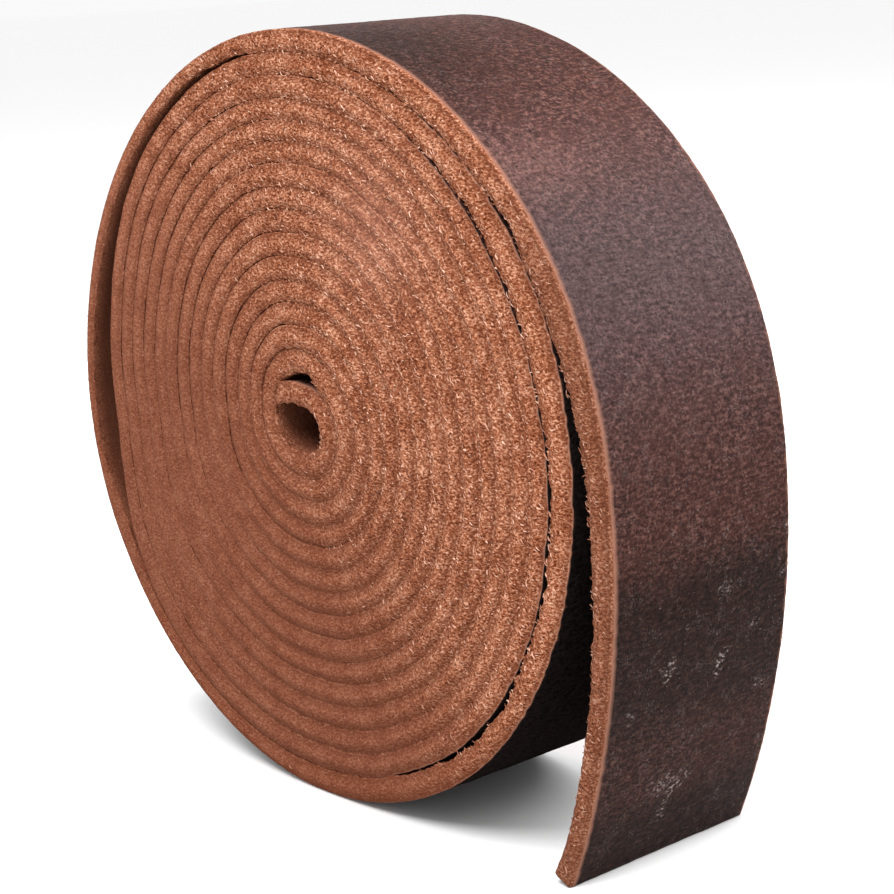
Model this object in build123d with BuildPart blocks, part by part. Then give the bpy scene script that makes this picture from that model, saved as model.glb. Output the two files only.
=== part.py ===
"""A narrow leather strap, rolled up tight and standing on its edge.

The strap is one continuous strip.  Its outline is a chain of straight runs and
clockwise bends, seen from the front (from -Y, with +X to the right and +Z up), and
it starts at the inner end, in the middle of the roll.  The grain side always faces
out of the roll.  The wound laps are one solid.  The loose part of the outermost lap
and the free end are further stretches of the same strip, hinged to one another on
the grain side, where leather bends without stretching.
"""
import math
import os
from collections import namedtuple

from build123d import *

# Driving dimensions, in millimetres and degrees
WIDTH = 25.4                # the strap is one inch wide
THICKNESS = 2.3             # of the leather
LAPS = 14                   # full wound laps, counted above the middle
TOP_PITCH = 2.42            # lap spacing above the middle
BOTTOM_PITCH = 2.54         # lap spacing below it, where the laps lie a little looser
FIRST_TOP = 7.0             # height of the innermost lap's mid-line above the middle
FIRST_BOTTOM = 5.0          # and its depth below it
OVAL = 1.2                  # straight run at the top and the bottom of each wound lap
LEAN = 1.15                 # how far the roll is turned clockwise, onto its resting lap and its tip
HINGE_GAP = 0.2             # room between two hinged stretches

Run = namedtuple("Run", "length")
Bend = namedtuple("Bend", "radius sweep")      # radius of the grain side
Piece = namedtuple("Piece", "x z heading step")

# The inner end, from its cut to the bottom of the innermost lap
INNER_END = [Bend(15.15, 18), Bend(5.25, 170)]
INNER_END_HEADING = 8.0

# The last wound lap, once round from the top of the roll to its left side
RESTING_LAP = [Run(OVAL), Bend(44.5, 35), Bend(37.5, 44), Bend(42.4, 61), Bend(44.8, 99)]

# The loose outer lap and the free end, one stretch a bend
LOOSE_STRETCHES = {
    "outer_lap_left": Bend(37, 39),
    "outer_lap_crown": Bend(46, 76),
    "outer_lap_shoulder": Bend(47.5, 40),
    "outer_lap_right": Bend(44.5, 34),
    "free_end_root": Bend(48, 18),
    "free_end_middle": Bend(87, 14.1),
    "free_end_tip": Bend(87, 14.1),
}


def wound_laps():
    """The regular laps: half turns that grow by half a pitch, with a short run between."""
    for lap in range(LAPS):
        top = FIRST_TOP + lap * TOP_PITCH
        bottom = FIRST_BOTTOM + lap * BOTTOM_PITCH
        yield Run(OVAL)
        yield Bend((top + bottom + THICKNESS) / 2, 180)
        if lap < LAPS - 1:
            yield Run(OVAL)
            yield Bend((top + bottom + BOTTOM_PITCH + THICKNESS) / 2, 180)


def centre(piece):
    """Centre of a bend, to the right of the way it heads."""
    turn = math.radians(piece.heading)
    return (
        piece.x + piece.step.radius * math.sin(turn),
        piece.z - piece.step.radius * math.cos(turn),
    )


def follow(x, z, heading, steps):
    """Place each step where the one before it ends, on the grain side of the strip."""
    placed = []
    for step in steps:
        piece = Piece(x, z, heading, step)
        placed.append(piece)
        if isinstance(step, Run):
            x += step.length * math.cos(math.radians(heading))
            z += step.length * math.sin(math.radians(heading))
        else:
            middle_x, middle_z = centre(piece)
            heading -= step.sweep
            x = middle_x - step.radius * math.sin(math.radians(heading))
            z = middle_z + step.radius * math.cos(math.radians(heading))
    return placed, (x, z, heading)


def side_line(piece, depth):
    """Draw one step of the strip's outline, at a depth below the grain side."""
    turn = math.radians(piece.heading)
    if isinstance(piece.step, Run):
        start_x = piece.x + depth * math.sin(turn)
        start_z = piece.z - depth * math.cos(turn)
        end_x = start_x + piece.step.length * math.cos(turn)
        end_z = start_z + piece.step.length * math.sin(turn)
        return Line((start_x, start_z), (end_x, end_z))
    return CenterArc(centre(piece), piece.step.radius - depth, piece.heading + 90, -piece.step.sweep)


def stretch(pieces, plane):
    """Extrude a stretch of the strip to its full width, evenly about the plane."""
    with BuildPart() as solid:
        with BuildSketch(plane.offset(-WIDTH / 2)):
            with BuildLine():
                grain = [side_line(piece, 0) for piece in pieces]
                flesh = [side_line(piece, THICKNESS) for piece in pieces]
                Line(grain[0] @ 0, flesh[0] @ 0)
                Line(grain[-1] @ 1, flesh[-1] @ 1)
            make_face()
        extrude(amount=WIDTH)
    return solid


def trimmed(piece, at_end=True):
    """Shorten a loose stretch by half the hinge gap at its hinges."""
    cut = math.degrees(HINGE_GAP / 2 / piece.step.radius)
    start_x, start_z, start_heading = follow(
        piece.x, piece.z, piece.heading, [Bend(piece.step.radius, cut)]
    )[1]
    cuts = 2 * cut if at_end else cut
    return Piece(start_x, start_z, start_heading, Bend(piece.step.radius, piece.step.sweep - cuts))


# The whole strip, placed step by step about the middle of the roll
bottom_of_core = (OVAL / 2, -FIRST_BOTTOM - THICKNESS / 2)
_, (end_x, end_z, _) = follow(0, 0, INNER_END_HEADING, INNER_END)
inner_end, _ = follow(
    bottom_of_core[0] - end_x, bottom_of_core[1] - end_z, INNER_END_HEADING, INNER_END
)
coil, coil_end = follow(*bottom_of_core, -180, wound_laps())
resting_lap, resting_end = follow(coil_end[0], coil_end[1], 0, RESTING_LAP)
loose, tip = follow(*resting_end, LOOSE_STRETCHES.values())

# Stand the roll on the floor, with the origin under the middle of its outline
lean = math.radians(LEAN)
upright = Plane(origin=(0, 0, 0), x_dir=(math.cos(lean), 0, -math.sin(lean)), z_dir=(0, -1, 0))
with BuildLine(upright) as outline:
    for piece in resting_lap + loose:
        side_line(piece, 0)
box = outline.line.bounding_box()
standing = Plane(origin=(-box.center().X, 0, -box.min.Z), x_dir=upright.x_dir, z_dir=upright.z_dir)

os.makedirs("parts", exist_ok=True)

# The wound laps, up to where the outer lap comes loose
last = resting_lap[-1]
half_gap = math.degrees(HINGE_GAP / 2 / last.step.radius)
resting_lap[-1] = last._replace(step=Bend(last.step.radius, last.step.sweep - half_gap))
coiled_laps = stretch(inner_end + coil + resting_lap, standing)
coiled_laps.part.label = "coiled_laps"
export_step(coiled_laps.part, "parts/coiled_laps.step")

# The loose stretches, each hinged where it starts
for name, piece in zip(LOOSE_STRETCHES, loose):
    is_tip = name == "free_end_tip"
    loose_stretch = stretch([trimmed(piece, at_end=not is_tip)], standing)
    loose_stretch.part.label = name
    export_step(loose_stretch.part, f"parts/{name}.step")
    hinge = standing.from_local_coords(Vector(piece.x, piece.z))
    print(f"{name}: hinge at x {hinge.X:.3f}, z {hinge.Z:.3f}")

print(f"tip at {standing.from_local_coords(Vector(tip[0], tip[1]))}")
print(f"axis of the roll at {standing.origin}, box {box.size}")
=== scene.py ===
"""A narrow leather strap, rolled up tight and standing on its edge: the visual model.

Metres, +Z up, the roll's axis along Y.  The strap is drawn as skins that are swept along
the path its grain side follows, from the inner end in the middle of the roll to the tip
of the free end.
"""

import math

import bpy
import numpy as np
from mathutils import Matrix, Vector


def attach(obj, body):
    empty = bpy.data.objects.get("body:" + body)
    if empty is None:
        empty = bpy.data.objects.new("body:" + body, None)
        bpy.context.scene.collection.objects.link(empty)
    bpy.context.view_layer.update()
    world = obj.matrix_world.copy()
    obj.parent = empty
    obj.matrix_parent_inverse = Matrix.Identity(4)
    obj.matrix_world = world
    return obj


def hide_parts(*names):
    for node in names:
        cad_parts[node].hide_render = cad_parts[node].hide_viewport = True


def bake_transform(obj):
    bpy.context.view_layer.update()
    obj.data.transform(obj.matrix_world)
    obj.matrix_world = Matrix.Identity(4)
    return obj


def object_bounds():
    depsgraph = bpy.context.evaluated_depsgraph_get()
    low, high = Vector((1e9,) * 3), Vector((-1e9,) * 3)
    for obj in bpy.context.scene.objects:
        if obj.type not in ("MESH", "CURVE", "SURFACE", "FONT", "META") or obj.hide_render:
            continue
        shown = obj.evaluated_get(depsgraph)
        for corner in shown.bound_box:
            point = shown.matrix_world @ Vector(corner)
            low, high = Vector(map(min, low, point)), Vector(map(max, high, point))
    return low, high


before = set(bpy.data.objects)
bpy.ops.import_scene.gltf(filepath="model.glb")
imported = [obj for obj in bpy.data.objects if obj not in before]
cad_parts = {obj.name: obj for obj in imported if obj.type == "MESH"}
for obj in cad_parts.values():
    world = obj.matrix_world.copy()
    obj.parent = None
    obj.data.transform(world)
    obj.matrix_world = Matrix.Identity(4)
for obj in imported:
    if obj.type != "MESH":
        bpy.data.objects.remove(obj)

cad_low, cad_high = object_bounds()
MM = 0.001

# The strap's driving dimensions, as in the frame
WIDTH = 25.4 * MM
THICKNESS = 2.3 * MM
LAPS = 14
TOP_PITCH = 2.42 * MM
BOTTOM_PITCH = 2.54 * MM
FIRST_TOP = 7.0 * MM
FIRST_BOTTOM = 5.0 * MM
OVAL = 1.2 * MM
LEAN = math.radians(1.15)
INNER_END_HEADING = math.radians(8)


# ---------------------------------------------------------------- camera

CAMERA_AZIMUTH = math.radians(50.44)
CAMERA_ELEVATION = math.radians(12.09)
CAMERA_ROLL = math.radians(-3.86)
CAMERA_DISTANCE = 0.2373
CAMERA_LENS = 86.7
CAMERA_AIM = Vector((8.02 * MM, 0, 39.13 * MM))


def direction(azimuth, elevation):
    """Where a camera or a light stands, seen from the roll. Azimuth 0 is the front."""
    return Vector(
        (
            math.sin(azimuth) * math.cos(elevation),
            -math.cos(azimuth) * math.cos(elevation),
            math.sin(elevation),
        )
    )


def add_camera():
    """Look at the roll from the right of its near side, from a little above."""
    away = direction(CAMERA_AZIMUTH, CAMERA_ELEVATION)
    right = Vector((math.cos(CAMERA_AZIMUTH), math.sin(CAMERA_AZIMUTH), 0))
    up = away.cross(right)
    turned_right = right * math.cos(CAMERA_ROLL) + up * math.sin(CAMERA_ROLL)
    turned_up = up * math.cos(CAMERA_ROLL) - right * math.sin(CAMERA_ROLL)
    data = bpy.data.cameras.new("camera")
    data.lens = CAMERA_LENS
    data.clip_start = 0.01
    camera = bpy.data.objects.new("camera", data)
    bpy.context.scene.collection.objects.link(camera)
    turn = Matrix((turned_right, turned_up, away)).transposed().to_4x4()
    camera.matrix_world = Matrix.Translation(CAMERA_AIM + away * CAMERA_DISTANCE) @ turn
    bpy.context.scene.camera = camera


add_camera()


# ---------------------------------------------------------------- the strap's path


def run(length):
    """A straight stretch: its length, and no curvature."""
    return length * MM, 0.0


def bend(radius, sweep):
    """A clockwise bend, by the radius of its grain side and its sweep in degrees."""
    return radius * MM * math.radians(sweep), 1 / (radius * MM)


def wound_laps():
    """Half turns that grow by half a pitch, with a short run between."""
    for lap in range(LAPS):
        top = FIRST_TOP + lap * TOP_PITCH
        bottom = FIRST_BOTTOM + lap * BOTTOM_PITCH
        yield run(OVAL / MM)
        yield bend((top + bottom + THICKNESS) / 2 / MM, 180)
        if lap < LAPS - 1:
            yield run(OVAL / MM)
            yield bend((top + bottom + BOTTOM_PITCH + THICKNESS) / 2 / MM, 180)


INNER_END = [bend(15.15, 18), bend(5.25, 170)]
RESTING_LAP = [run(OVAL / MM), bend(44.5, 35), bend(37.5, 44), bend(42.4, 61), bend(44.8, 99)]
LOOSE = {
    "outer_lap_left": bend(37, 39),
    "outer_lap_crown": bend(46, 76),
    "outer_lap_shoulder": bend(47.5, 40),
    "outer_lap_right": bend(44.5, 34),
    "free_end_root": bend(48, 18),
    "free_end_middle": bend(87, 14.1),
    "free_end_tip": bend(87, 14.1),
}
WOUND = list(wound_laps())
STEPS = INNER_END + WOUND + RESTING_LAP + list(LOOSE.values())


class Path:
    """The line that the grain side follows, seen from the front, by length along it."""

    def __init__(self, steps, heading):
        self.lengths, self.curvatures = np.array(steps).T
        ends = np.cumsum(self.lengths)
        self.starts = ends - self.lengths
        self.length = ends[-1]
        turned = np.cumsum(self.lengths * self.curvatures)
        self.headings = heading - (turned - self.lengths * self.curvatures)
        self.corners = np.zeros((len(steps), 2))
        for i in range(1, len(steps)):
            x, z, _ = self.step(np.array([i - 1]), self.lengths[i - 1 : i])
            self.corners[i] = x[0], z[0]

    def step(self, i, along):
        """Place and heading at a length along step i."""
        curvature, first = self.curvatures[i], self.headings[i]
        heading = first - curvature * along
        straight = curvature == 0
        divisor = np.where(straight, 1, curvature)
        dx = np.where(straight, along * np.cos(first), (np.sin(first) - np.sin(heading)) / divisor)
        dz = np.where(straight, along * np.sin(first), (np.cos(heading) - np.cos(first)) / divisor)
        return self.corners[i, 0] + dx, self.corners[i, 1] + dz, heading

    def at(self, s):
        """Place and heading at a length along the whole strap."""
        i = np.clip(np.searchsorted(self.starts, s, side="right") - 1, 0, len(self.starts) - 1)
        return self.step(i, s - self.starts[i])


SAMPLES = 60000
path = Path(STEPS, INNER_END_HEADING - LEAN)
outline_x, outline_z, _ = path.at(np.linspace(0, path.length, SAMPLES))
path.corners += (
    (cad_low.x + cad_high.x - outline_x.min() - outline_x.max()) / 2,
    cad_low.z - outline_z.min(),
)

COIL_START = path.starts[len(INNER_END)]
REST_START = path.starts[len(INNER_END) + len(WOUND)]
HINGES = path.starts[-len(LOOSE) :]
core_x, core_z, _ = path.at(np.array([COIL_START]))
down, aside = FIRST_BOTTOM + THICKNESS / 2, OVAL / 2
MIDDLE_X = core_x[0] - aside * math.cos(LEAN) + down * math.sin(LEAN)
MIDDLE_Z = core_z[0] + aside * math.sin(LEAN) + down * math.cos(LEAN)

# How far the strap has turned at each length, to find the lap inside another one. It has
# to grow on the straight stretches too, so a little is added for each metre.
TURN_PER_METRE = 1e-3
TABLE_S = np.linspace(0, path.length, SAMPLES)
TABLE_TURN = path.headings[0] - path.at(TABLE_S)[2] + TABLE_S * TURN_PER_METRE


def lap_inside(s):
    """The length along the strap one full turn before s."""
    return np.interp(np.interp(s, TABLE_S, TABLE_TURN) - 2 * math.pi, TABLE_TURN, TABLE_S)


def spacing(s):
    """Distance from the grain side to the grain side of the lap inside it."""
    inside = lap_inside(s)
    x, z, heading = path.at(s)
    inner_x, inner_z, _ = path.at(inside)
    gap = (inner_x - x) * np.sin(heading) - (inner_z - z) * np.cos(heading)
    return np.where(inside > 0, gap, 1.0)


# ---------------------------------------------------------------- noise


def scatter(ix, iy, iz, seed):
    """A fixed number from -1 to 1 for each whole-number place."""
    mask = 0xFFFFFFFF
    h = (ix * 374761393 + iy * 668265263 + iz * 1440662683 + seed * 982451653) & mask
    h = ((h ^ (h >> 13)) * 1274126177) & mask
    h = ((h ^ (h >> 15)) * 2246822519) & mask
    return ((h ^ (h >> 16)) & 0xFFFF) / 32767.5 - 1


def noise(x, y, z, size, seed):
    """Smooth noise from -1 to 1 with lumps of about that size."""
    coords = [np.asarray(c, float) / size for c in np.broadcast_arrays(x, y, z)]
    cells = [np.floor(c).astype(np.int64) for c in coords]
    parts = [c - f for c, f in zip(coords, cells)]
    parts = [p * p * p * (p * (p * 6 - 15) + 10) for p in parts]
    total = 0
    for dx in (0, 1):
        for dy in (0, 1):
            for dz in (0, 1):
                weight = (
                    (parts[0] if dx else 1 - parts[0])
                    * (parts[1] if dy else 1 - parts[1])
                    * (parts[2] if dz else 1 - parts[2])
                )
                total = total + weight * scatter(cells[0] + dx, cells[1] + dy, cells[2] + dz, seed)
    return total


def smooth(low, high, value):
    """0 below low, 1 above high, and a smooth step between."""
    t = np.clip((value - low) / (high - low), 0, 1)
    return t * t * (3 - 2 * t)


# ---------------------------------------------------------------- the strap's section

HALF = WIDTH / 2
GRAIN_CORNER = 0.3 * MM
FLESH_CORNER = 0.2 * MM
SKIRT = 2 * MM


def edge_band(skirt, face_rows, skirt_rows):
    """Half a section: the front cut edge with a skirt down the flesh and the grain side.

    Each row is (share of the thickness, extra depth, y, outward depth, outward y).
    """
    rows = []
    for y in np.linspace(-HALF + skirt, -HALF + FLESH_CORNER, skirt_rows)[:-1]:
        rows.append((1, 0, y, 1, 0))
    for turn in np.linspace(0, math.pi / 2, 4)[:-1]:
        deep = FLESH_CORNER * (math.cos(turn) - 1)
        y = -HALF + FLESH_CORNER * (1 - math.sin(turn))
        rows.append((1, deep, y, math.cos(turn), -math.sin(turn)))
    for t in np.linspace(0, 1, face_rows):
        rows.append((1 - t, GRAIN_CORNER * t - FLESH_CORNER * (1 - t), -HALF, 0, -1))
    for turn in np.linspace(0, math.pi / 2, 5)[1:]:
        deep = GRAIN_CORNER * (1 - math.sin(turn))
        y = -HALF + GRAIN_CORNER * (1 - math.cos(turn))
        rows.append((0, deep, y, -math.sin(turn), -math.cos(turn)))
    for y in np.linspace(-HALF + GRAIN_CORNER, -HALF + skirt, skirt_rows)[1:]:
        rows.append((0, 0, y, -1, 0))
    return rows


def mirrored(rows):
    """The same rows at the back cut edge."""
    return [(share, extra, -y, deep, -out) for share, extra, y, deep, out in reversed(rows)]


def whole_section(face_rows, wall_step):
    """The closed section: both cut edges and both walls."""
    skirt_rows = max(4, round(SKIRT / wall_step))
    front = edge_band(SKIRT, face_rows, skirt_rows)
    count = round((WIDTH - 2 * SKIRT) / wall_step)
    across = np.linspace(-HALF + SKIRT, HALF - SKIRT, count)[1:-1]
    grain_wall = [(0, 0, y, -1, 0) for y in across]
    flesh_wall = [(1, 0, y, 1, 0) for y in across[::-1]]
    return front + grain_wall + mirrored(front) + flesh_wall


# ---------------------------------------------------------------- places on the roll

BLEND = 5 * MM
REST_END = HINGES[0] - 2 * BLEND
PALE = -0.35

# How far a lap 40 mm from the middle sags outwards, in millimetres, by direction in degrees
SAG = (
    (0, 0),
    (145, 0),
    (165, -0.6),
    (186, -0.7),
    (195, 0.4),
    (205, 2.0),
    (215, 2.8),
    (232, 2.5),
    (250, 1.8),
    (265, 1.1),
    (278, 0.6),
    (292, 0),
    (340, 0),
)


def place_round(s):
    """Distance from the middle in millimetres and direction of the grain side."""
    x, z, _ = path.at(s)
    return np.hypot(x - MIDDLE_X, z - MIDDLE_Z) / MM, direction_round(x, z)


def direction_round(x, z):
    """The direction of a point from the middle of the roll."""
    return np.arctan2(z - MIDDLE_Z, x - MIDDLE_X)


def lobe(angle, centre, spread):
    """A smooth bump over an angle in radians, its centre and spread given in degrees."""
    apart = (angle - math.radians(centre) + math.pi) % (2 * math.pi) - math.pi
    return np.exp(-((apart / math.radians(spread)) ** 2))


def profile(angle, *stops):
    """A given quantity by direction in radians, from (degrees, value) stops round the roll."""
    degrees, values = np.array(stops, float).T
    return np.interp(np.degrees(angle) % 360, degrees, values, period=360)


def drift(radius, around):
    """How far the wound laps lie outside their regular place, in millimetres.

    They stand up a little at the top, are pressed in at the left, and sag out to meet the
    resting lap at the lower left.
    """
    risen = (0.4 + 0.6 * np.exp(-(((radius - 26) / 9) ** 2))) * smooth(5, 12, radius)
    risen = risen * lobe(around, 92, 38)
    sag = profile(around, *SAG)
    return risen + sag * np.where(sag > 0, (radius / 40) ** 3, radius / 40)


def settle(x, z, loose):
    """Move points of the wound laps by their drift, and the innermost ones a little to the left.

    Loose laps only wander.
    """
    radius = np.hypot(x - MIDDLE_X, z - MIDDLE_Z) / MM
    around = direction_round(x, z)
    shift = (1 - loose) * drift(radius, around) * MM
    wander_x = 0.10 * noise(x, 0, z, 7 * MM, 11) + 0.06 * noise(x, 0, z, 2.2 * MM, 12)
    wander_z = 0.10 * noise(x, 0, z, 7 * MM, 13) + 0.06 * noise(x, 0, z, 2.2 * MM, 14)
    calm = 1 - 0.7 * loose
    core = -0.6 * MM * (1 - smooth(5, 11, radius))
    x_out = x + np.cos(around) * shift + wander_x * calm * MM + core
    z_out = z + np.sin(around) * shift + wander_z * calm * MM
    return x_out, z_out


def loose_at(s):
    """0 on the wound laps and 1 on the laps that lie outside them."""
    return smooth(REST_START + 2 * MM, REST_START + 26 * MM, s)


def worn_and_shaded(x, z):
    """1 at the rubbed lower left of the roll, where the cut edge is smooth and dark, its darkness
    partly wear and partly painted shade; 0 elsewhere.
    """
    return smooth(-15 * MM, 15 * MM, -0.75 * (x - MIDDLE_X) - 0.6 * (z - MIDDLE_Z))


def rubbed(x, z):
    """1 at the far lower left, where the laps are smeared together; 0 elsewhere."""
    radius = np.hypot(x - MIDDLE_X, z - MIDDLE_Z)
    return lobe(direction_round(x, z), 207, 33) * smooth(9 * MM, 20 * MM, radius)


def oiled_and_shaded(x, y, z, s):
    """How dark the grain is: 1 low at the right, 0 at its usual tone, below 0 where it is paler. It
    is partly the wax's own tone and partly painted shade towards the bottom and behind the free end.
    """
    around = direction_round(x, z)
    height = z + 1.5 * MM * noise(x, y, z, 6 * MM, 91)
    front = 1 - smooth(-8 * MM, 6 * MM, y)
    outer = (0.40 + 0.35 * front) * lobe(around, 72, 22)
    outer -= (0.04 + 0.16 * front) * lobe(around, 42, 7)
    # Darker towards the bottom: painted shade.
    low, lowest = 1 - smooth(34 * MM, 62 * MM, z), 1 - smooth(29 * MM, 36 * MM, height)
    outer += 0.42 * low + 0.50 * lowest
    outer -= 0.20 * smooth(5 * MM, 9 * MM, z) * (1 - smooth(13 * MM, 20 * MM, height))
    # The wound laps' grain is darker from the bottom round to the right, behind and beneath the free
    # end: painted shade.
    inner = profile(around, (0, 1), (12, 1), (45, 0.35), (200, 0.35), (235, 1))
    wound = wound_up(s)
    return np.clip(outer * (1 - wound) + inner * wound, PALE, 1)


def wound_up(s):
    """1 on the roll itself and 0 on the outermost lap and the free end."""
    return 1 - smooth(HINGES[0] - 4 * BLEND, HINGES[0] + 4 * BLEND, s)


def shadow_under_free_end(x, z, s):
    """1 where the grain of the roll is painted near black as shadow, behind and beneath the free
    end.
    """
    around = direction_round(x, z)
    return wound_up(s) * profile(around, (0, 1), (8, 1), (70, 0), (195, 0), (240, 1))


def sheen_on_shoulder(x, z, s):
    """1 where a greyer sheen is painted on the grain: on the shoulder of the outermost lap."""
    return lobe(direction_round(x, z), 23, 21) * (s > HINGES[0])


def dark_rim(s):
    """Where the grain shows dark right up to the cut edge, in the open lines at the right."""
    about_a_lap = 0.25
    _, around = place_round(s)
    facing = profile(around, (0, 1), (50, 1), (62, 0), (275, 0), (290, 1)) > 0.5
    return (s > REST_START - about_a_lap) * (s < REST_END) * facing


def crisp(x, z):
    """1 at the upper left, where the lines between the laps are thin and sharp; 0 elsewhere."""
    return lobe(direction_round(x, z), 130, 50)


# ---------------------------------------------------------------- skins

RIM_FRONT = 1.15 * MM
RIM_BACK = 0.4 * MM
RIM_COVERED = 0.3 * MM
CUT_RINGS = 9
START_BULGE = 0.12 * MM
START_SLANT = 1.6 * MM
START_SET_BACK = 0.2 * MM
START_LENGTH = 9 * MM
END_BULGE = 0.03 * MM

# The direction in which the raw leather is brushed, seen from the front
BRUSHED = math.radians(-33)
BRUSHED_X, BRUSHED_Z = 0.84, -0.54

FIBRES_PER_METRE = 9000
FIBRE_POINTS = 4
FIBRE_LENGTH = (0.3, 0.85)
FIBRE_HALF_WIDTH = (0.04, 0.08)
FIBRE_ARCH = (0.02, 0.10)


def swollen(x, z, inside):
    """How far a lap's cut edge stands out between its neighbours: a cushion, or nearly flat."""
    sharp = crisp(x, z)
    cushion = 0.48 * np.sin(math.pi * inside) ** 2
    flat = 0.10 * (1 - np.abs(2 * inside - 1) ** 2.4)
    return (cushion * (1 - sharp) * (1 - 0.8 * rubbed(x, z)) + flat * sharp) * MM


def dusty(x, z):
    """1 at a paler place on the cut edges, above and right of the middle."""
    away = np.hypot(x - MIDDLE_X - 15 * MM, z - MIDDLE_Z - 22 * MM)
    return np.exp(-((away / (7 * MM)) ** 2))


def stagger(s, side):
    """Laps stand a little in or out of one plane."""
    return 0.10 * MM * noise(s, 0, side, 45 * MM, 41)


def fuzz(x, y, z):
    """The fibrous relief of raw leather, brushed down to the right, and rubbed flat where worn."""
    along, aside = x * BRUSHED_X + z * BRUSHED_Z, z * BRUSHED_X - x * BRUSHED_Z
    relief = 0.10 * noise(along / 2.0, y, aside, 0.32 * MM, 51)
    fine = noise(along / 2.0, y, aside, 0.2 * MM, 53)
    relief += 0.05 * noise(x, y, z, 0.8 * MM, 52) + 0.04 * fine
    return relief * (1 - 0.65 * worn_and_shaded(x, z)) * MM


def cut_rings(deep, y, full, bulge):
    """Rings that shrink from a section to the middle of the leather, to close a cut end.

    They come as three grids: how far each ring stands out, its depth and its y.
    """
    inset = np.linspace(0, 1, CUT_RINGS + 1)[1:] ** 1.6 * full / 2
    beyond = bulge * (1 - np.exp(-inset / (0.10 * MM)))
    ring_deep = np.clip(deep[None], inset[:, None], full - inset[:, None])
    ring_y = np.clip(y[None], -HALF + inset[:, None], HALF - inset[:, None])
    return np.repeat(beyond[:, None], len(deep), 1), ring_deep, ring_y


def swept(s, rows, thickness, start_cut, end_cut):
    """The grids of a section swept along the strap, its cut ends closed.

    They are the length along the strap, depth, y, thickness, whether a point looks out of
    a cut end (-1 at the start, 1 at the end), outward depth and outward y.
    """
    share, extra, across, out_deep, out_y = np.array(rows).T
    s_grid = np.repeat(s[:, None], len(rows), 1)
    thick = thickness(s)[:, None]
    deep = share * thick + extra
    y = np.repeat(across[None, :], len(s), 0)
    out_s = np.zeros_like(s_grid)

    if start_cut:
        full = thick[0, 0]
        beyond, ring_deep, ring_y = cut_rings(deep[0], y[0], full, START_BULGE)
        deep, y = np.vstack((ring_deep[::-1], deep)), np.vstack((ring_y[::-1], y))
        s_grid = np.vstack(((s[0] - beyond)[::-1], s_grid))
        out_s = np.vstack((-np.ones_like(beyond), out_s))
        thick = np.vstack((np.full((CUT_RINGS, 1), full), thick))
        back = np.clip(1 - (s_grid - s_grid.min()) / START_LENGTH, 0, 1)
        s_grid = s_grid - (START_SET_BACK + START_SLANT * deep / full) * back
    if end_cut:
        full = thick[-1, 0]
        beyond, ring_deep, ring_y = cut_rings(deep[-1], y[-1], full, END_BULGE)
        deep, y = np.vstack((deep, ring_deep)), np.vstack((y, ring_y))
        s_grid = np.vstack((s_grid, s[-1] + beyond))
        out_s = np.vstack((out_s, np.ones_like(beyond)))
        thick = np.vstack((thick, np.full((CUT_RINGS, 1), full)))

    on_side = out_s == 0
    return s_grid, deep, y, thick, out_s, np.where(on_side, out_deep, 0), np.where(on_side, out_y, 0)


def finished(x, y, z, s, inside, out_deep):
    """1 where the leather has its finished grain, 0 where it is raw, with a ragged line between."""
    from_edge = HALF - np.abs(y)
    ragged = 0.10 * MM * noise(x, y, z, 0.7 * MM, 31)
    covered = dark_rim(s)
    band = np.where(covered, RIM_COVERED, np.where(y < 0, RIM_FRONT, RIM_BACK))
    on_grain = (inside < 0.15) * (out_deep < np.where(covered, -0.35, -0.9))
    return smooth(0.1 * band, band, from_edge + ragged) * on_grain


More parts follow.
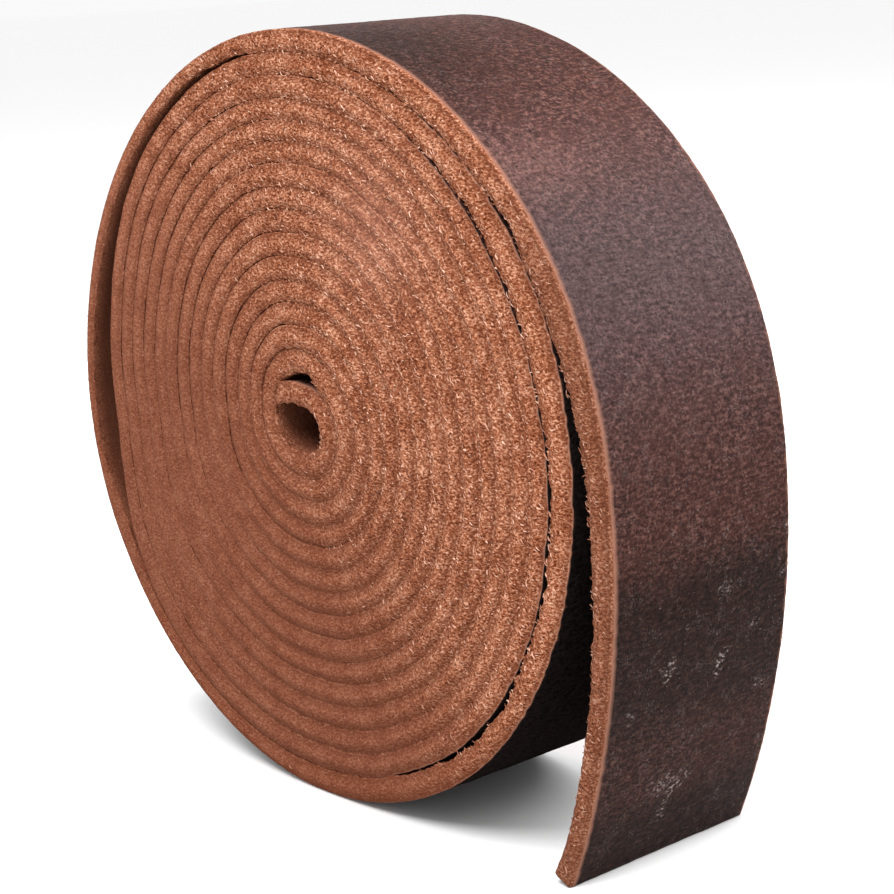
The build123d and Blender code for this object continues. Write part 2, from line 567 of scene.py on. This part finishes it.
def leather(name, s, rows, thickness, closed=False, start_cut=False, end_cut=False):
    """Sweep a section along the strap and work the surface of the leather into it."""
    s, deep, y, thick, out_s, out_deep, out_y = swept(s, rows, thickness, start_cut, end_cut)
    x, z, heading = path.at(s)
    in_x, in_z = np.sin(heading), -np.cos(heading)
    px, pz = settle(x + in_x * deep, z + in_z * deep, loose_at(s))

    from_edge = HALF - np.abs(y)
    inside = np.clip(deep / thick, 0, 1)
    wall = np.abs(out_deep)
    side = np.sign(y)
    face = (wall < 0.5) * (out_s == 0)
    finish = finished(px, y, pz, s, inside, out_deep)

    # relief: fibrous where it is raw, pebbled on the grain, torn at the flesh corners
    pebble = 0.028 * noise(px, y, pz, 0.75 * MM, 61) + 0.025 * noise(px, y, pz, 2.5 * MM, 62)
    at_rim = 0.25 + 0.75 * smooth(0.0, 0.25, inside)
    ragged_end = smooth(4 * MM, 30 * MM, path.length - s)
    calm = np.where(out_deep > 0.5, 0.3 + 0.7 * ragged_end, 1)
    lift = (1 - finish) * fuzz(px, y, pz) * at_rim * calm + finish * pebble * MM
    torn = 0.17 * noise(px, y, pz, 0.36 * MM, 71) + 0.10 * noise(px, y, pz, 0.9 * MM, 72)
    tatter = torn * MM * smooth(0.7, 1.0, inside) * (wall < 0.95) * (0.1 + 0.9 * ragged_end)

    move_deep = out_deep * lift + tatter
    move_s = out_s * lift * np.where(out_s < 0, 1.5, 0.3)
    px = px + in_x * move_deep + np.cos(heading) * move_s
    pz = pz + in_z * move_deep + np.sin(heading) * move_s
    shallow = np.where(s < REST_START, 0.65 * (1 - crisp(px, pz)), 0)
    y = np.where(from_edge < GRAIN_CORNER, side * (HALF - from_edge * (1 - shallow)), y)
    trimmed = 0.15 + 0.85 * smooth(0, 4 * MM, path.length - s)
    py = y + out_y * (lift + swollen(px, pz, inside) * trimmed * face)
    py += side * stagger(s, side) * np.exp(-from_edge / (3 * MM))

    places = np.stack((px, py, pz), -1)
    obj = grid_object(name, places, closed)
    keep(obj, "rest", places.reshape(-1, 3) / MM)
    keep(obj, "lie", np.stack((s, y, deep), -1).reshape(-1, 3) / MM)
    looks = {
        "finish": finish,
        # painted shade in the grooves between laps
        "groove_shade": np.abs(2 * inside - 1) ** 2.5 * face * (1 - 0.85 * rubbed(px, pz)),
        # painted shade on the flesh walls deep in the gaps
        "gap_shade": smooth(0.1 * MM, 1.8 * MM, from_edge) * (inside > 0.95),
        "sheen_on_shoulder": sheen_on_shoulder(px, pz, s),
        # painted shadow behind and beneath the free end
        "shadow_under_free_end": shadow_under_free_end(px, pz, s),
        "worn_and_shaded": worn_and_shaded(px, pz),
        "dusty": dusty(px, pz),
        "oiled_and_shaded": oiled_and_shaded(px, py, pz, s),
        # painted shade on the free end's cut edge
        "free_end_shade": smooth(HINGES[3], HINGES[4], s),
    }
    for look, values in looks.items():
        keep(obj, look, values.reshape(-1))
    return obj


def fibres(name, first, last, thickness, side, seed):
    """Short curled fibres that stand up from the cut edge, on the side y has the sign of."""
    pick = np.random.default_rng(seed)
    count = int((last - first) * FIBRES_PER_METRE)
    s = pick.uniform(first, last, count)
    inside = pick.uniform(0.17, 1.05, count)
    x, z, heading = path.at(s)
    deep = inside * thickness(s)
    x, z = settle(x + np.sin(heading) * deep, z - np.cos(heading) * deep, loose_at(s))
    chosen = pick.random(count) > np.minimum(0.95 * worn_and_shaded(x, z) + 0.45 * crisp(x, z), 0.96)
    chosen &= inside < 1.05 - 0.2 * smooth(30 * MM, 12 * MM, path.length - s)
    s, x, z, inside = s[chosen], x[chosen], z[chosen], inside[chosen]
    count = len(s)

    flat = np.full(count, side * HALF)
    height = fuzz(x, flat, z) + swollen(x, z, np.clip(inside, 0, 1)) + stagger(s, side)
    lean = BRUSHED + pick.normal(0, 0.5, count)
    length = pick.uniform(*FIBRE_LENGTH, count) * MM
    half_width = pick.uniform(*FIBRE_HALF_WIDTH, count) * MM
    arch = pick.uniform(*FIBRE_ARCH, count) * MM
    bow = pick.uniform(-0.22, 0.22, count) * length
    tilt = pick.uniform(-0.7, 0.7, count)

    t = np.linspace(0, 1, FIBRE_POINTS)[None, :, None]
    edge = np.array([-1.0, 1.0])[None, None, :]
    each = (slice(None), None, None)
    width = half_width[each] * edge * (0.35 + 0.65 * np.sin(math.pi * t))
    u = (t - 0.5) * length[each]
    v = bow[each] * (1 - (2 * t - 1) ** 2) + width
    out = height[each] - 0.03 * MM + arch[each] * np.sin(math.pi * t) + width * tilt[each]
    px = x[each] + u * np.cos(lean)[each] - v * np.sin(lean)[each]
    pz = z[each] + u * np.sin(lean)[each] + v * np.cos(lean)[each]
    places = np.stack((px, side * (HALF + out), pz), -1)

    points = places.reshape(-1, 3)
    per_fibre = 2 * FIBRE_POINTS
    index = np.arange(len(points)).reshape(count, FIBRE_POINTS, 2)
    quads = np.stack((index[:, :-1, 0], index[:, :-1, 1], index[:, 1:, 1], index[:, 1:, 0]), -1)
    obj = mesh_object(name, points, quads.reshape(-1, 4))
    keep(obj, "rest", points / MM)
    keep(obj, "tone", np.repeat(pick.uniform(0.15, 1, count) ** 1.3, per_fibre))
    # Painted shade on the free end's fibres.
    keep(obj, "free_end_shade", np.repeat(smooth(HINGES[3], HINGES[4], s), per_fibre))
    keep(obj, "worn_and_shaded", worn_and_shaded(points[:, 0], points[:, 2]))
    return obj


def grid_object(name, places, closed):
    """A mesh from a grid of points, its second direction closed to a loop if asked."""
    count, width = places.shape[:2]
    index = np.arange(count * width).reshape(count, width)
    if closed:
        index = np.hstack((index, index[:, :1]))
    quads = np.stack((index[:-1, :-1], index[:-1, 1:], index[1:, 1:], index[1:, :-1]), -1)
    return mesh_object(name, places, quads.reshape(-1, 4))


def mesh_object(name, places, quads):
    """A smooth mesh from points and four-sided faces."""
    mesh = bpy.data.meshes.new(name)
    mesh.vertices.add(places.size // 3)
    mesh.vertices.foreach_set("co", places.reshape(-1).astype(np.float32))
    mesh.loops.add(quads.size)
    mesh.loops.foreach_set("vertex_index", quads.reshape(-1).astype(np.int32))
    mesh.polygons.add(len(quads))
    mesh.polygons.foreach_set("loop_start", np.arange(0, quads.size, 4, dtype=np.int32))
    mesh.polygons.foreach_set("use_smooth", np.ones(len(quads), bool))
    mesh.update(calc_edges=True)
    mesh.validate()
    obj = bpy.data.objects.new(name, mesh)
    bpy.context.scene.collection.objects.link(obj)
    return obj


def keep(obj, name, values):
    """Store a number or a vector for every point of a mesh."""
    kind = "FLOAT_VECTOR" if values.ndim == 2 else "FLOAT"
    attribute = obj.data.attributes.new(name, kind, "POINT")
    field = "vector" if values.ndim == 2 else "value"
    attribute.data.foreach_set(field, values.reshape(-1).astype(np.float32))


# ---------------------------------------------------------------- material


class Tree:
    """A small helper to write a material's nodes in one expression each."""

    def __init__(self, name):
        self.material = bpy.data.materials.new(name)
        self.material.use_nodes = True
        self.nodes = self.material.node_tree.nodes
        self.links = self.material.node_tree.links
        self.shader = self.nodes["Principled BSDF"]

    def add(self, kind, inputs, output=0, **settings):
        """A node with these inputs and settings; gives back one of its outputs."""
        node = self.nodes.new(kind)
        for key, value in settings.items():
            setattr(node, key, value)
        self.feed(node, inputs)
        return node.outputs[output]

    def feed(self, node, inputs):
        """Link the inputs that are sockets and set those that are values."""
        for key, value in inputs.items():
            if isinstance(value, bpy.types.NodeSocket):
                self.links.new(value, node.inputs[key])
            else:
                node.inputs[key].default_value = value

    def place(self, name):
        """A vector kept on the mesh."""
        return self.add("ShaderNodeAttribute", {}, output="Vector", attribute_name=name)

    def number(self, name):
        """A number kept on the mesh."""
        return self.add("ShaderNodeAttribute", {}, output="Fac", attribute_name=name)

    def noise(self, vector, size, detail=2.0, roughness=0.5):
        """Noise with lumps of that size, in millimetres."""
        inputs = {"Vector": vector, "Scale": 1 / size, "Detail": detail, "Roughness": roughness}
        return self.add("ShaderNodeTexNoise", inputs)

    def stretched(self, vector, angle, ratio):
        """Turn the front view by an angle and stretch it along that direction."""
        inputs = {"Vector": vector, "Rotation": (0, angle, 0), "Scale": (1 / ratio, 1, 1)}
        return self.add("ShaderNodeMapping", inputs)

    def across(self, vector, ratio):
        """Stretch the strap's own places (length, width, depth) across its width."""
        return self.add("ShaderNodeMapping", {"Vector": vector, "Scale": (1, 1 / ratio, 1)})

    def math(self, operation, *values):
        """One sum on numbers or sockets."""
        return self.add("ShaderNodeMath", dict(enumerate(values)), operation=operation)

    def ramp(self, value, *stops):
        """A colour ramp from (place, colour) stops."""
        node = self.nodes.new("ShaderNodeValToRGB")
        elements = node.color_ramp.elements
        while len(elements) < len(stops):
            elements.new(0.5)
        for element, (spot, colour) in zip(elements, stops):
            element.position = spot
            element.color = (*colour, 1)
        self.links.new(value, node.inputs[0])
        return node.outputs[0]

    def grey(self, value, low, high, from_value=0.0, to_value=1.0):
        """Map low..high to another range, clamped."""
        inputs = {0: value, 1: low, 2: high, 3: from_value, 4: to_value}
        return self.add("ShaderNodeMapRange", inputs)

    def mix(self, factor, first, second):
        """From the first colour to the second, by a factor from 0 to 1."""
        factor_in, first_in, second_in, colour_out = 0, 6, 7, 2
        inputs = {factor_in: factor}
        for key, colour in ((first_in, first), (second_in, second)):
            inputs[key] = (*colour, 1) if isinstance(colour, tuple) else colour
        return self.add("ShaderNodeMix", inputs, output=colour_out, data_type="RGBA")


def raw_colour(t, rest, height, fibrous):
    """Raw leather: dark pits between light fibres, partly their own tone and partly painted shade in
    the pits and painted highlights on the fibres, rubbed to an even brown where it is worn.
    """
    blotch = t.noise(rest, 3.0, 3, 0.5)
    tuned = t.math("ADD", fibrous, t.grey(blotch, 0.3, 0.7, -0.04, 0.04))
    # Dark pits and light fibres: partly the fibres' own tone, partly painted shade and painted
    # highlights.
    rough = t.ramp(
        tuned,
        (0.37, (0.070, 0.016, 0.006)),
        (0.46, (0.19, 0.055, 0.024)),
        (0.54, (0.34, 0.126, 0.065)),
        (0.63, (0.59, 0.315, 0.205)),
    )
    # Painted light and shade: the even brown is paler higher up and darker lower down.
    low = t.ramp(tuned, (0.36, (0.114, 0.034, 0.018)), (0.64, (0.188, 0.065, 0.036)))
    high = t.ramp(tuned, (0.36, (0.150, 0.048, 0.026)), (0.64, (0.265, 0.098, 0.056)))
    even = t.mix(t.grey(height, 45.0, 70.0), low, high)
    rough = t.mix(t.grey(t.number("dusty"), 0.0, 1.0, 0.0, 0.3), rough, (0.42, 0.20, 0.145))
    # Where worn, the cut edge turns an even brown that is darker, partly from wear and partly as
    # painted shade.
    raw = t.mix(t.grey(t.number("worn_and_shaded"), 0.0, 1.0, 0.0, 0.85), rough, even)
    for place, share, shade in (
        # painted shade in the grooves between laps
        ("groove_shade", 0.85, (0.10, 0.030, 0.015)),
        # painted shade on the flesh walls deep in the gaps
        ("gap_shade", 0.75, (0.070, 0.022, 0.012)),
        # painted shade on the free end's cut edge
        ("free_end_shade", 0.45, (0.090, 0.032, 0.018)),
    ):
        raw = t.mix(t.grey(t.number(place), 0.0, 1.0, 0.0, share), raw, shade)
    return raw


def worn_marks(t, rest, lie, height):
    """Where the grain is scratched, specked or scuffed pale, from 0 to 1."""
    wrinkle = t.noise(rest, 1.1, 3, 0.6)
    where = t.noise(rest, 2.6, 3, 0.6)
    line = t.grey(t.math("ABSOLUTE", t.math("SUBTRACT", wrinkle, 0.5)), 0.0, 0.012, 1.0, 0.0)
    line = t.math("MULTIPLY", line, t.grey(where, 0.5, 0.6))
    speck = t.grey(t.noise(rest, 0.36, 1, 0.5), 0.70, 0.76)
    marks = t.math("MAXIMUM", t.math("MULTIPLY", line, 0.35), t.math("MULTIPLY", speck, 0.25))
    patches = t.grey(t.noise(rest, 5.0, 2, 0.6), 0.61, 0.69)
    streaks = t.noise(t.across(lie, 1.8), 0.36, 3, 0.7)
    scuff = t.math("MULTIPLY", patches, t.grey(streaks, 0.53, 0.62))
    scuff = t.math("MULTIPLY", scuff, t.grey(height, 32.0, 50.0, 1.0, 0.15))
    marks = t.math("MAXIMUM", marks, scuff)
    return t.math("MULTIPLY", marks, t.grey(t.number("shadow_under_free_end"), 0.0, 1.0, 1.0, 0.0))


def grain_colour(t, rest, skin, pull_up, marks):
    """Finished grain: near black, with redder and paler places where the wax has moved, a painted
    sheen on the shoulder, and painted shade low down and behind the free end.
    """
    mottle = t.noise(rest, 1.4, 4, 0.7)
    oiled_and_shaded_there = t.number("oiled_and_shaded")
    top = t.ramp(
        skin,
        (0.37, (0.014, 0.0042, 0.0032)),
        (0.50, (0.062, 0.0200, 0.0150)),
        (0.62, (0.230, 0.1020, 0.0800)),
    )
    dark = t.ramp(skin, (0.39, (0.0020, 0.0010, 0.0008)), (0.62, (0.0200, 0.0095, 0.0075)))
    pale = t.ramp(skin, (0.37, (0.045, 0.0175, 0.0150)), (0.62, (0.300, 0.1450, 0.1250)))
    painted_sheen = t.ramp(skin, (0.38, (0.026, 0.016, 0.016)), (0.62, (0.092, 0.062, 0.064)))
    painted_shadow = t.ramp(skin, (0.40, (0.004, 0.003, 0.0028)), (0.62, (0.017, 0.0135, 0.0125)))
    top = t.mix(t.grey(pull_up, 0.42, 0.62, 0.0, 0.35), top, (0.078, 0.025, 0.017))
    top = t.mix(t.grey(mottle, 0.42, 0.62, 0.0, 0.35), top, (0.024, 0.010, 0.009))
    # A greyer sheen painted on the shoulder of the outermost lap.
    top = t.mix(t.grey(t.number("sheen_on_shoulder"), 0.0, 1.0, 0.0, 0.8), top, painted_sheen)
    # Darker where the grain is oiled and where shade is painted in; paler in places.
    grain = t.mix(t.grey(oiled_and_shaded_there, 0.0, 1.0), top, dark)
    grain = t.mix(t.grey(oiled_and_shaded_there, PALE, 0.0, 1.0, 0.0), grain, pale)
    grain = t.mix(marks, grain, (0.24, 0.190, 0.180))
    # Painted shadow: near black behind and beneath the free end.
    return t.mix(t.grey(t.number("shadow_under_free_end"), 0.0, 1.0, 0.0, 0.9), grain, painted_shadow)


def leather_material(name, specular):
    """Dark waxed grain over a tan body: raw and fibrous at the cut edges and the flesh side."""
    t = Tree(name)
    rest, lie = t.place("rest"), t.place("lie")
    finish, worn_and_shaded_there = t.number("finish"), t.number("worn_and_shaded")
    height = t.add("ShaderNodeSeparateXYZ", {0: rest}, output="Z")

    strokes = t.noise(t.stretched(rest, BRUSHED, 2.2), 0.19, 2, 0.6)
    flecks = t.noise(rest, 0.26, 3, 0.6)
    fibrous = t.math("ADD", t.math("MULTIPLY", strokes, 0.6), t.math("MULTIPLY", flecks, 0.4))
    pebbles = t.noise(rest, 0.34, 2, 0.6)
    creases = t.noise(t.across(lie, 2.6), 0.42, 4, 0.75)
    skin = t.math("ADD", t.math("MULTIPLY", pebbles, 0.4), t.math("MULTIPLY", creases, 0.6))
    pull_up = t.noise(rest, 8.0, 4, 0.6)

    raw = raw_colour(t, rest, height, fibrous)
    grain = grain_colour(t, rest, skin, pull_up, worn_marks(t, rest, lie, height))
    # The rim is darker where worn: partly wear, partly painted shade.
    rim = t.mix(t.grey(worn_and_shaded_there, 0.0, 1.0, 0.0, 0.6), (0.29, 0.135, 0.092), (0.19, 0.075, 0.045))
    near_rim = t.mix(t.grey(finish, 0.0, 0.35), raw, rim)
    colour = t.mix(t.grey(finish, 0.2, 0.95), near_rim, grain)
    satin = t.grey(t.math("ADD", pebbles, t.math("MULTIPLY", pull_up, 0.5)), 0.5, 1.0, 0.46, 0.62)
    rough = t.mix(t.grey(finish, 0.2, 1.0), (0.95, 0.95, 0.95), satin)

    raw_height = t.math("MULTIPLY", fibrous, t.grey(finish, 0.0, 0.6, 1.0, 0.0))
    raw_height = t.math("MULTIPLY", raw_height, t.grey(worn_and_shaded_there, 0.0, 1.0, 1.0, 0.3))
    grain_height = t.math("MULTIPLY", skin, t.grey(finish, 0.3, 1.0, 0.0, 0.42))
    relief = t.math("ADD", raw_height, grain_height)
    normal = t.add("ShaderNodeBump", {"Strength": 1.0, "Distance": 0.30 * MM, "Height": relief})
    t.feed(
        t.shader,
        {"Base Color": colour, "Roughness": rough, "Normal": normal, "Specular IOR Level": specular},
    )
    return t.material


def fibre_material():
    """The fibres: lighter than the leather they stand on, each of its own tone."""
    t = Tree("fibre")
    colour = t.ramp(
        t.number("tone"),
        (0.1, (0.17, 0.050, 0.022)),
        (0.6, (0.40, 0.165, 0.092)),
        (1.0, (0.68, 0.41, 0.30)),
    )
    # Fibres are darker where worn: partly wear, partly painted shade.
    colour = t.mix(t.grey(t.number("worn_and_shaded"), 0.0, 1.0, 0.0, 0.8), colour, (0.19, 0.065, 0.034))
    # Fibres are darker on the free end: painted shade.
    colour = t.mix(t.grey(t.number("free_end_shade"), 0.0, 1.0, 0.0, 0.45), colour, (0.13, 0.045, 0.024))
    t.feed(t.shader, {"Base Color": colour, "Roughness": 0.9, "Specular IOR Level": 0.2})
    return t.material


leather_look = leather_material("leather", 0.042)
# A shaded copy of the leather, with no specular reflection, for the resting lap: painted shade.
shaded_look = leather_material("leather_shaded_copy", 0.0)
fibre_look = fibre_material()


def finish_piece(obj, body=None, nodes=(), look=leather_look):
    """Give a piece its material and tie it to the frame."""
    obj.data.materials.append(look)
    if body:
        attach(obj, body)
    for node in nodes:
        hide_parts(node)


def finish_fibres(obj, body=None):
    """Give a piece's fibres their material, and tie them to a body that doesn't bend."""
    obj.data.materials.append(fibre_look)
    if body:
        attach(obj, body)


# ---------------------------------------------------------------- the pieces

STEP = 0.3 * MM
FINE_STEP = 0.22 * MM
WALL_STEP = 0.8 * MM
CORE_TURNS = 1.5
BANDS = 3
SIDES = (("front", -1), ("back", 1))

# The open line inside the resting lap, in millimetres, by direction in degrees
RESTING_LINE = (
    (0, 0.22),
    (15, 0.16),
    (30, 0.24),
    (45, 0.20),
    (54, 0.08),
    (65, 0),
    (200, 0),
    (284, 0),
    (292, 0.2),
    (305, 0.40),
    (325, 0.40),
    (345, 0.28),
)

# The loose lap's thickness and the gap inside it, by direction, in the same units
LOOSE_THICKNESS = (
    (0, 2.7),
    (8, 2.95),
    (17, 3.15),
    (22, 3.2),
    (26, 3.15),
    (30, 3.05),
    (50, 2.75),
    (90, 2.4),
    (125, 1.85),
    (142, 1.7),
    (160, 1.65),
    (175, 1.45),
    (192, 1.3),
    (202, 1.8),
    (212, 2.6),
    (240, 2.6),
    (320, 2.45),
)
LOOSE_LINE = (
    (0, 0.1),
    (22, 0),
    (30, 0.25),
    (37, 0.45),
    (43, 0.12),
    (50, 0.16),
    (56, 0),
    (94, 0),
    (104, 0.45),
    (111, 0.75),
    (125, 1.15),
    (141, 1.6),
    (160, 2.4),
    (300, 0.1),
)


def stations(first, last, step=STEP):
    """Evenly spaced lengths along the strap."""
    return np.linspace(first, last, max(3, round((last - first) / step) + 1))


def tightness(s):
    """Gap left to the lap inside: open lines at the upper left, pressed shut elsewhere."""
    _, around = place_round(s)
    uneven = noise(s, 0, 0, 6 * MM, 81) + 0.5 * noise(s, 0, 0, 1.5 * MM, 82)
    return (0.19 * lobe(around, 138, 45) - 0.04 + 0.06 * uneven) * MM


def wound_thickness(s):
    """Each wound lap fills out to the one inside it, as far as the leather goes."""
    return np.minimum(spacing(s) - tightness(s), 2.7 * MM)


def core_thickness(s):
    """The inner end is one thickness; the lap round it fills out to it past the gap above."""
    turn = np.interp(s, TABLE_S, TABLE_TURN)
    shut = smooth(math.radians(375), math.radians(418), turn)
    limit = (2.35 + 1.6 * shut) * MM
    inner = (2.4 + 0.45 * smooth(math.radians(110), math.radians(190), turn)) * MM
    return np.where(turn < 2 * math.pi, inner, np.minimum(spacing(s) - 0.03 * MM, limit))


def torn_line(s, line, seed):
    """How much an open line widens or closes along its length, where its flesh side is torn."""
    uneven = 0.75 * noise(s, 0, 0, 2.5 * MM, seed) + 0.45 * noise(s, 0, 0, 0.9 * MM, seed + 1)
    return uneven * np.clip(np.minimum(line, 0.9 - line), 0, 0.45)


def resting_thickness(s):
    """Close on the wound laps, apart from a thin open line at the right and below."""
    radius, around = place_round(s)
    line = profile(around, *RESTING_LINE)
    line = line + torn_line(s, line, 83)
    met = (1 - loose_at(s)) * drift(radius, around)
    inner = drift(radius - 3, around)
    return np.clip(spacing(s) + (met - inner - line) * MM, 1.9 * MM, 3.8 * MM)


def loose_thickness(s):
    """Thin at the left, pressed on the lap inside over the top, full at the free end."""
    _, around = place_round(s)
    usual = profile(around, *LOOSE_THICKNESS)
    line = profile(around, *LOOSE_LINE)
    line = line + torn_line(s, line, 85)
    tip = 0.3 * smooth(HINGES[5], path.length, s) - 0.25 * smooth(4 * MM, 0, path.length - s)
    lap_in = lap_inside(s)
    inner_radius, inner_around = place_round(lap_in)
    inner = (1 - loose_at(lap_in)) * drift(inner_radius, inner_around)
    return np.minimum((usual - tip) * MM, spacing(s) - (line + inner) * MM)


def sheet_thickness(s):
    """Thickness from the resting lap on, as one smooth change."""
    share = smooth(REST_END, HINGES[0] + 3 * BLEND, s)
    return resting_thickness(s) * (1 - share) + loose_thickness(s) * share


def add_core():
    """The inner end and the lap round it, whole, because the hole shows all its sides."""
    rows = whole_section(9, 0.45 * MM)
    s = stations(0, core_end)
    core = leather("core_lap", s, rows, core_thickness, closed=True, start_cut=True)
    finish_piece(core, "roll", ["coiled_laps"])


def add_wound_laps():
    """The laps that show only their cut edges: bands at both edges, and two walls between."""
    limits = np.linspace(core_end, REST_START, BANDS + 1)
    rows = edge_band(0.9 * MM, 13, 3)
    for number, (first, last) in enumerate(zip(limits[:-1], limits[1:]), 1):
        for label, band in (("front", rows), ("back", mirrored(rows))):
            s = stations(first, last, FINE_STEP)
            finish_piece(leather(f"wound_laps_{label}_{number}", s, band, wound_thickness), "roll")
    for label, share, out in (("grain", 0, -1), ("flesh", 1, 1)):
        across = np.linspace(-HALF + WALL_STEP, HALF - WALL_STEP, 12)[::-out]
        wall_rows = [(share, 0, y, out, 0) for y in across]
        s = stations(core_end, REST_START, WALL_STEP)
        finish_piece(leather(f"wound_laps_{label}_wall", s, wall_rows, wound_thickness), "roll")


def add_resting_lap():
    """The lap that the roll stands on, which hides behind the free end at the right."""
    rows = whole_section(10, 0.5 * MM)
    s = stations(REST_START, REST_END)
    lap = leather("resting_lap", s, rows, resting_thickness, closed=True)
    # The resting lap takes the shaded copy of the leather: painted shade.
    finish_piece(lap, "roll", look=shaded_look)
    for seed, (label, side) in enumerate(SIDES, 103):
        name = f"resting_fibres_{label}"
        finish_fibres(fibres(name, REST_START, REST_END, resting_thickness, side, seed), "roll")


def add_roll_fibres():
    """The fibres of the core and the wound laps."""
    for seed, (label, side) in enumerate(SIDES, 101):
        name = f"core_fibres_{label}"
        finish_fibres(fibres(name, 1 * MM, core_end, core_thickness, side, seed + 20), "roll")
        name = f"wound_fibres_{label}"
        finish_fibres(fibres(name, core_end, REST_START, wound_thickness, side, seed), "roll")


def add_loose_strap():
    """The outermost lap and the free end: a piece for each body, reaching across its hinge."""
    names = list(LOOSE)
    ends = np.append(HINGES, path.length)
    middles = (ends[:-1] + ends[1:]) / 2
    firsts = np.concatenate(([REST_END], middles[:-1]))
    lasts = np.append(middles[:-1], path.length)
    rows = whole_section(11, 0.36 * MM)
    for i, name in enumerate(names):
        is_tip = name == names[-1]
        s = stations(firsts[i], lasts[i])
        piece = leather(f"{name}_leather", s, rows, sheet_thickness, closed=True, end_cut=is_tip)
        finish_piece(piece, nodes=[name])
        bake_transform(piece)
        for label, side in SIDES:
            last = lasts[i] - 0.8 * MM if is_tip else lasts[i]
            seed = 110 + 2 * i + side
            tufts = fibres(f"{name}_fibres_{label}", firsts[i], last, sheet_thickness, side, seed)
            finish_fibres(tufts)
            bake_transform(tufts)


core_end = np.interp(2 * math.pi * CORE_TURNS, TABLE_TURN, TABLE_S)
add_core()
add_wound_laps()
add_resting_lap()
add_roll_fibres()
add_loose_strap()


# ---------------------------------------------------------------- floor and light


def add_floor():
    """A pale floor under the roll, painted paler further out where the lamps light it less: painted
    light.
    """
    reach = 30.0
    level = cad_low.z - 0.1 * MM
    mesh = bpy.data.meshes.new("floor")
    corners = ((-reach, -reach), (reach, -reach), (reach, reach), (-reach, reach))
    mesh.from_pydata([(x, y, level) for x, y in corners], [], [(0, 1, 2, 3)])
    floor = bpy.data.objects.new("floor", mesh)
    bpy.context.scene.collection.objects.link(floor)
    t = Tree("floor")
    place = t.add("ShaderNodeTexCoord", {}, output="Object")
    away = t.add("ShaderNodeVectorMath", {0: place}, output="Value", operation="LENGTH")
    # Painted light: paler further from the roll, where the lamps light the floor less.
    colour = t.mix(t.grey(away, 0.3, 1.2), (0.82, 0.82, 0.82), (0.98, 0.98, 0.98))
    t.feed(t.shader, {"Base Color": colour, "Roughness": 0.9})
    mesh.materials.append(t.material)


def add_light(name, azimuth, elevation, distance, size, power):
    """A soft square light that faces the roll, placed by angles in degrees."""
    away = direction(math.radians(azimuth), math.radians(elevation))
    data = bpy.data.lights.new(name, "AREA")
    data.size = size
    data.energy = power
    light = bpy.data.objects.new(name, data)
    bpy.context.scene.collection.objects.link(light)
    light.location = Vector((0, 0, MIDDLE_Z)) + away * distance
    light.rotation_euler = away.to_track_quat("Z", "Y").to_euler()


def add_world(strength):
    """An even pale surround."""
    world = bpy.data.worlds.new("surround")
    bpy.context.scene.world = world
    world.use_nodes = True
    background = world.node_tree.nodes["Background"]
    background.inputs["Color"].default_value = (1, 1, 1, 1)
    background.inputs["Strength"].default_value = strength


bpy.context.scene.view_settings.view_transform = "Standard"
add_floor()
add_light("key", azimuth=22, elevation=58, distance=0.7, size=0.30, power=5.2)
add_light("rim", azimuth=146, elevation=42, distance=0.7, size=0.40, power=4.5)
add_world(strength=0.95)
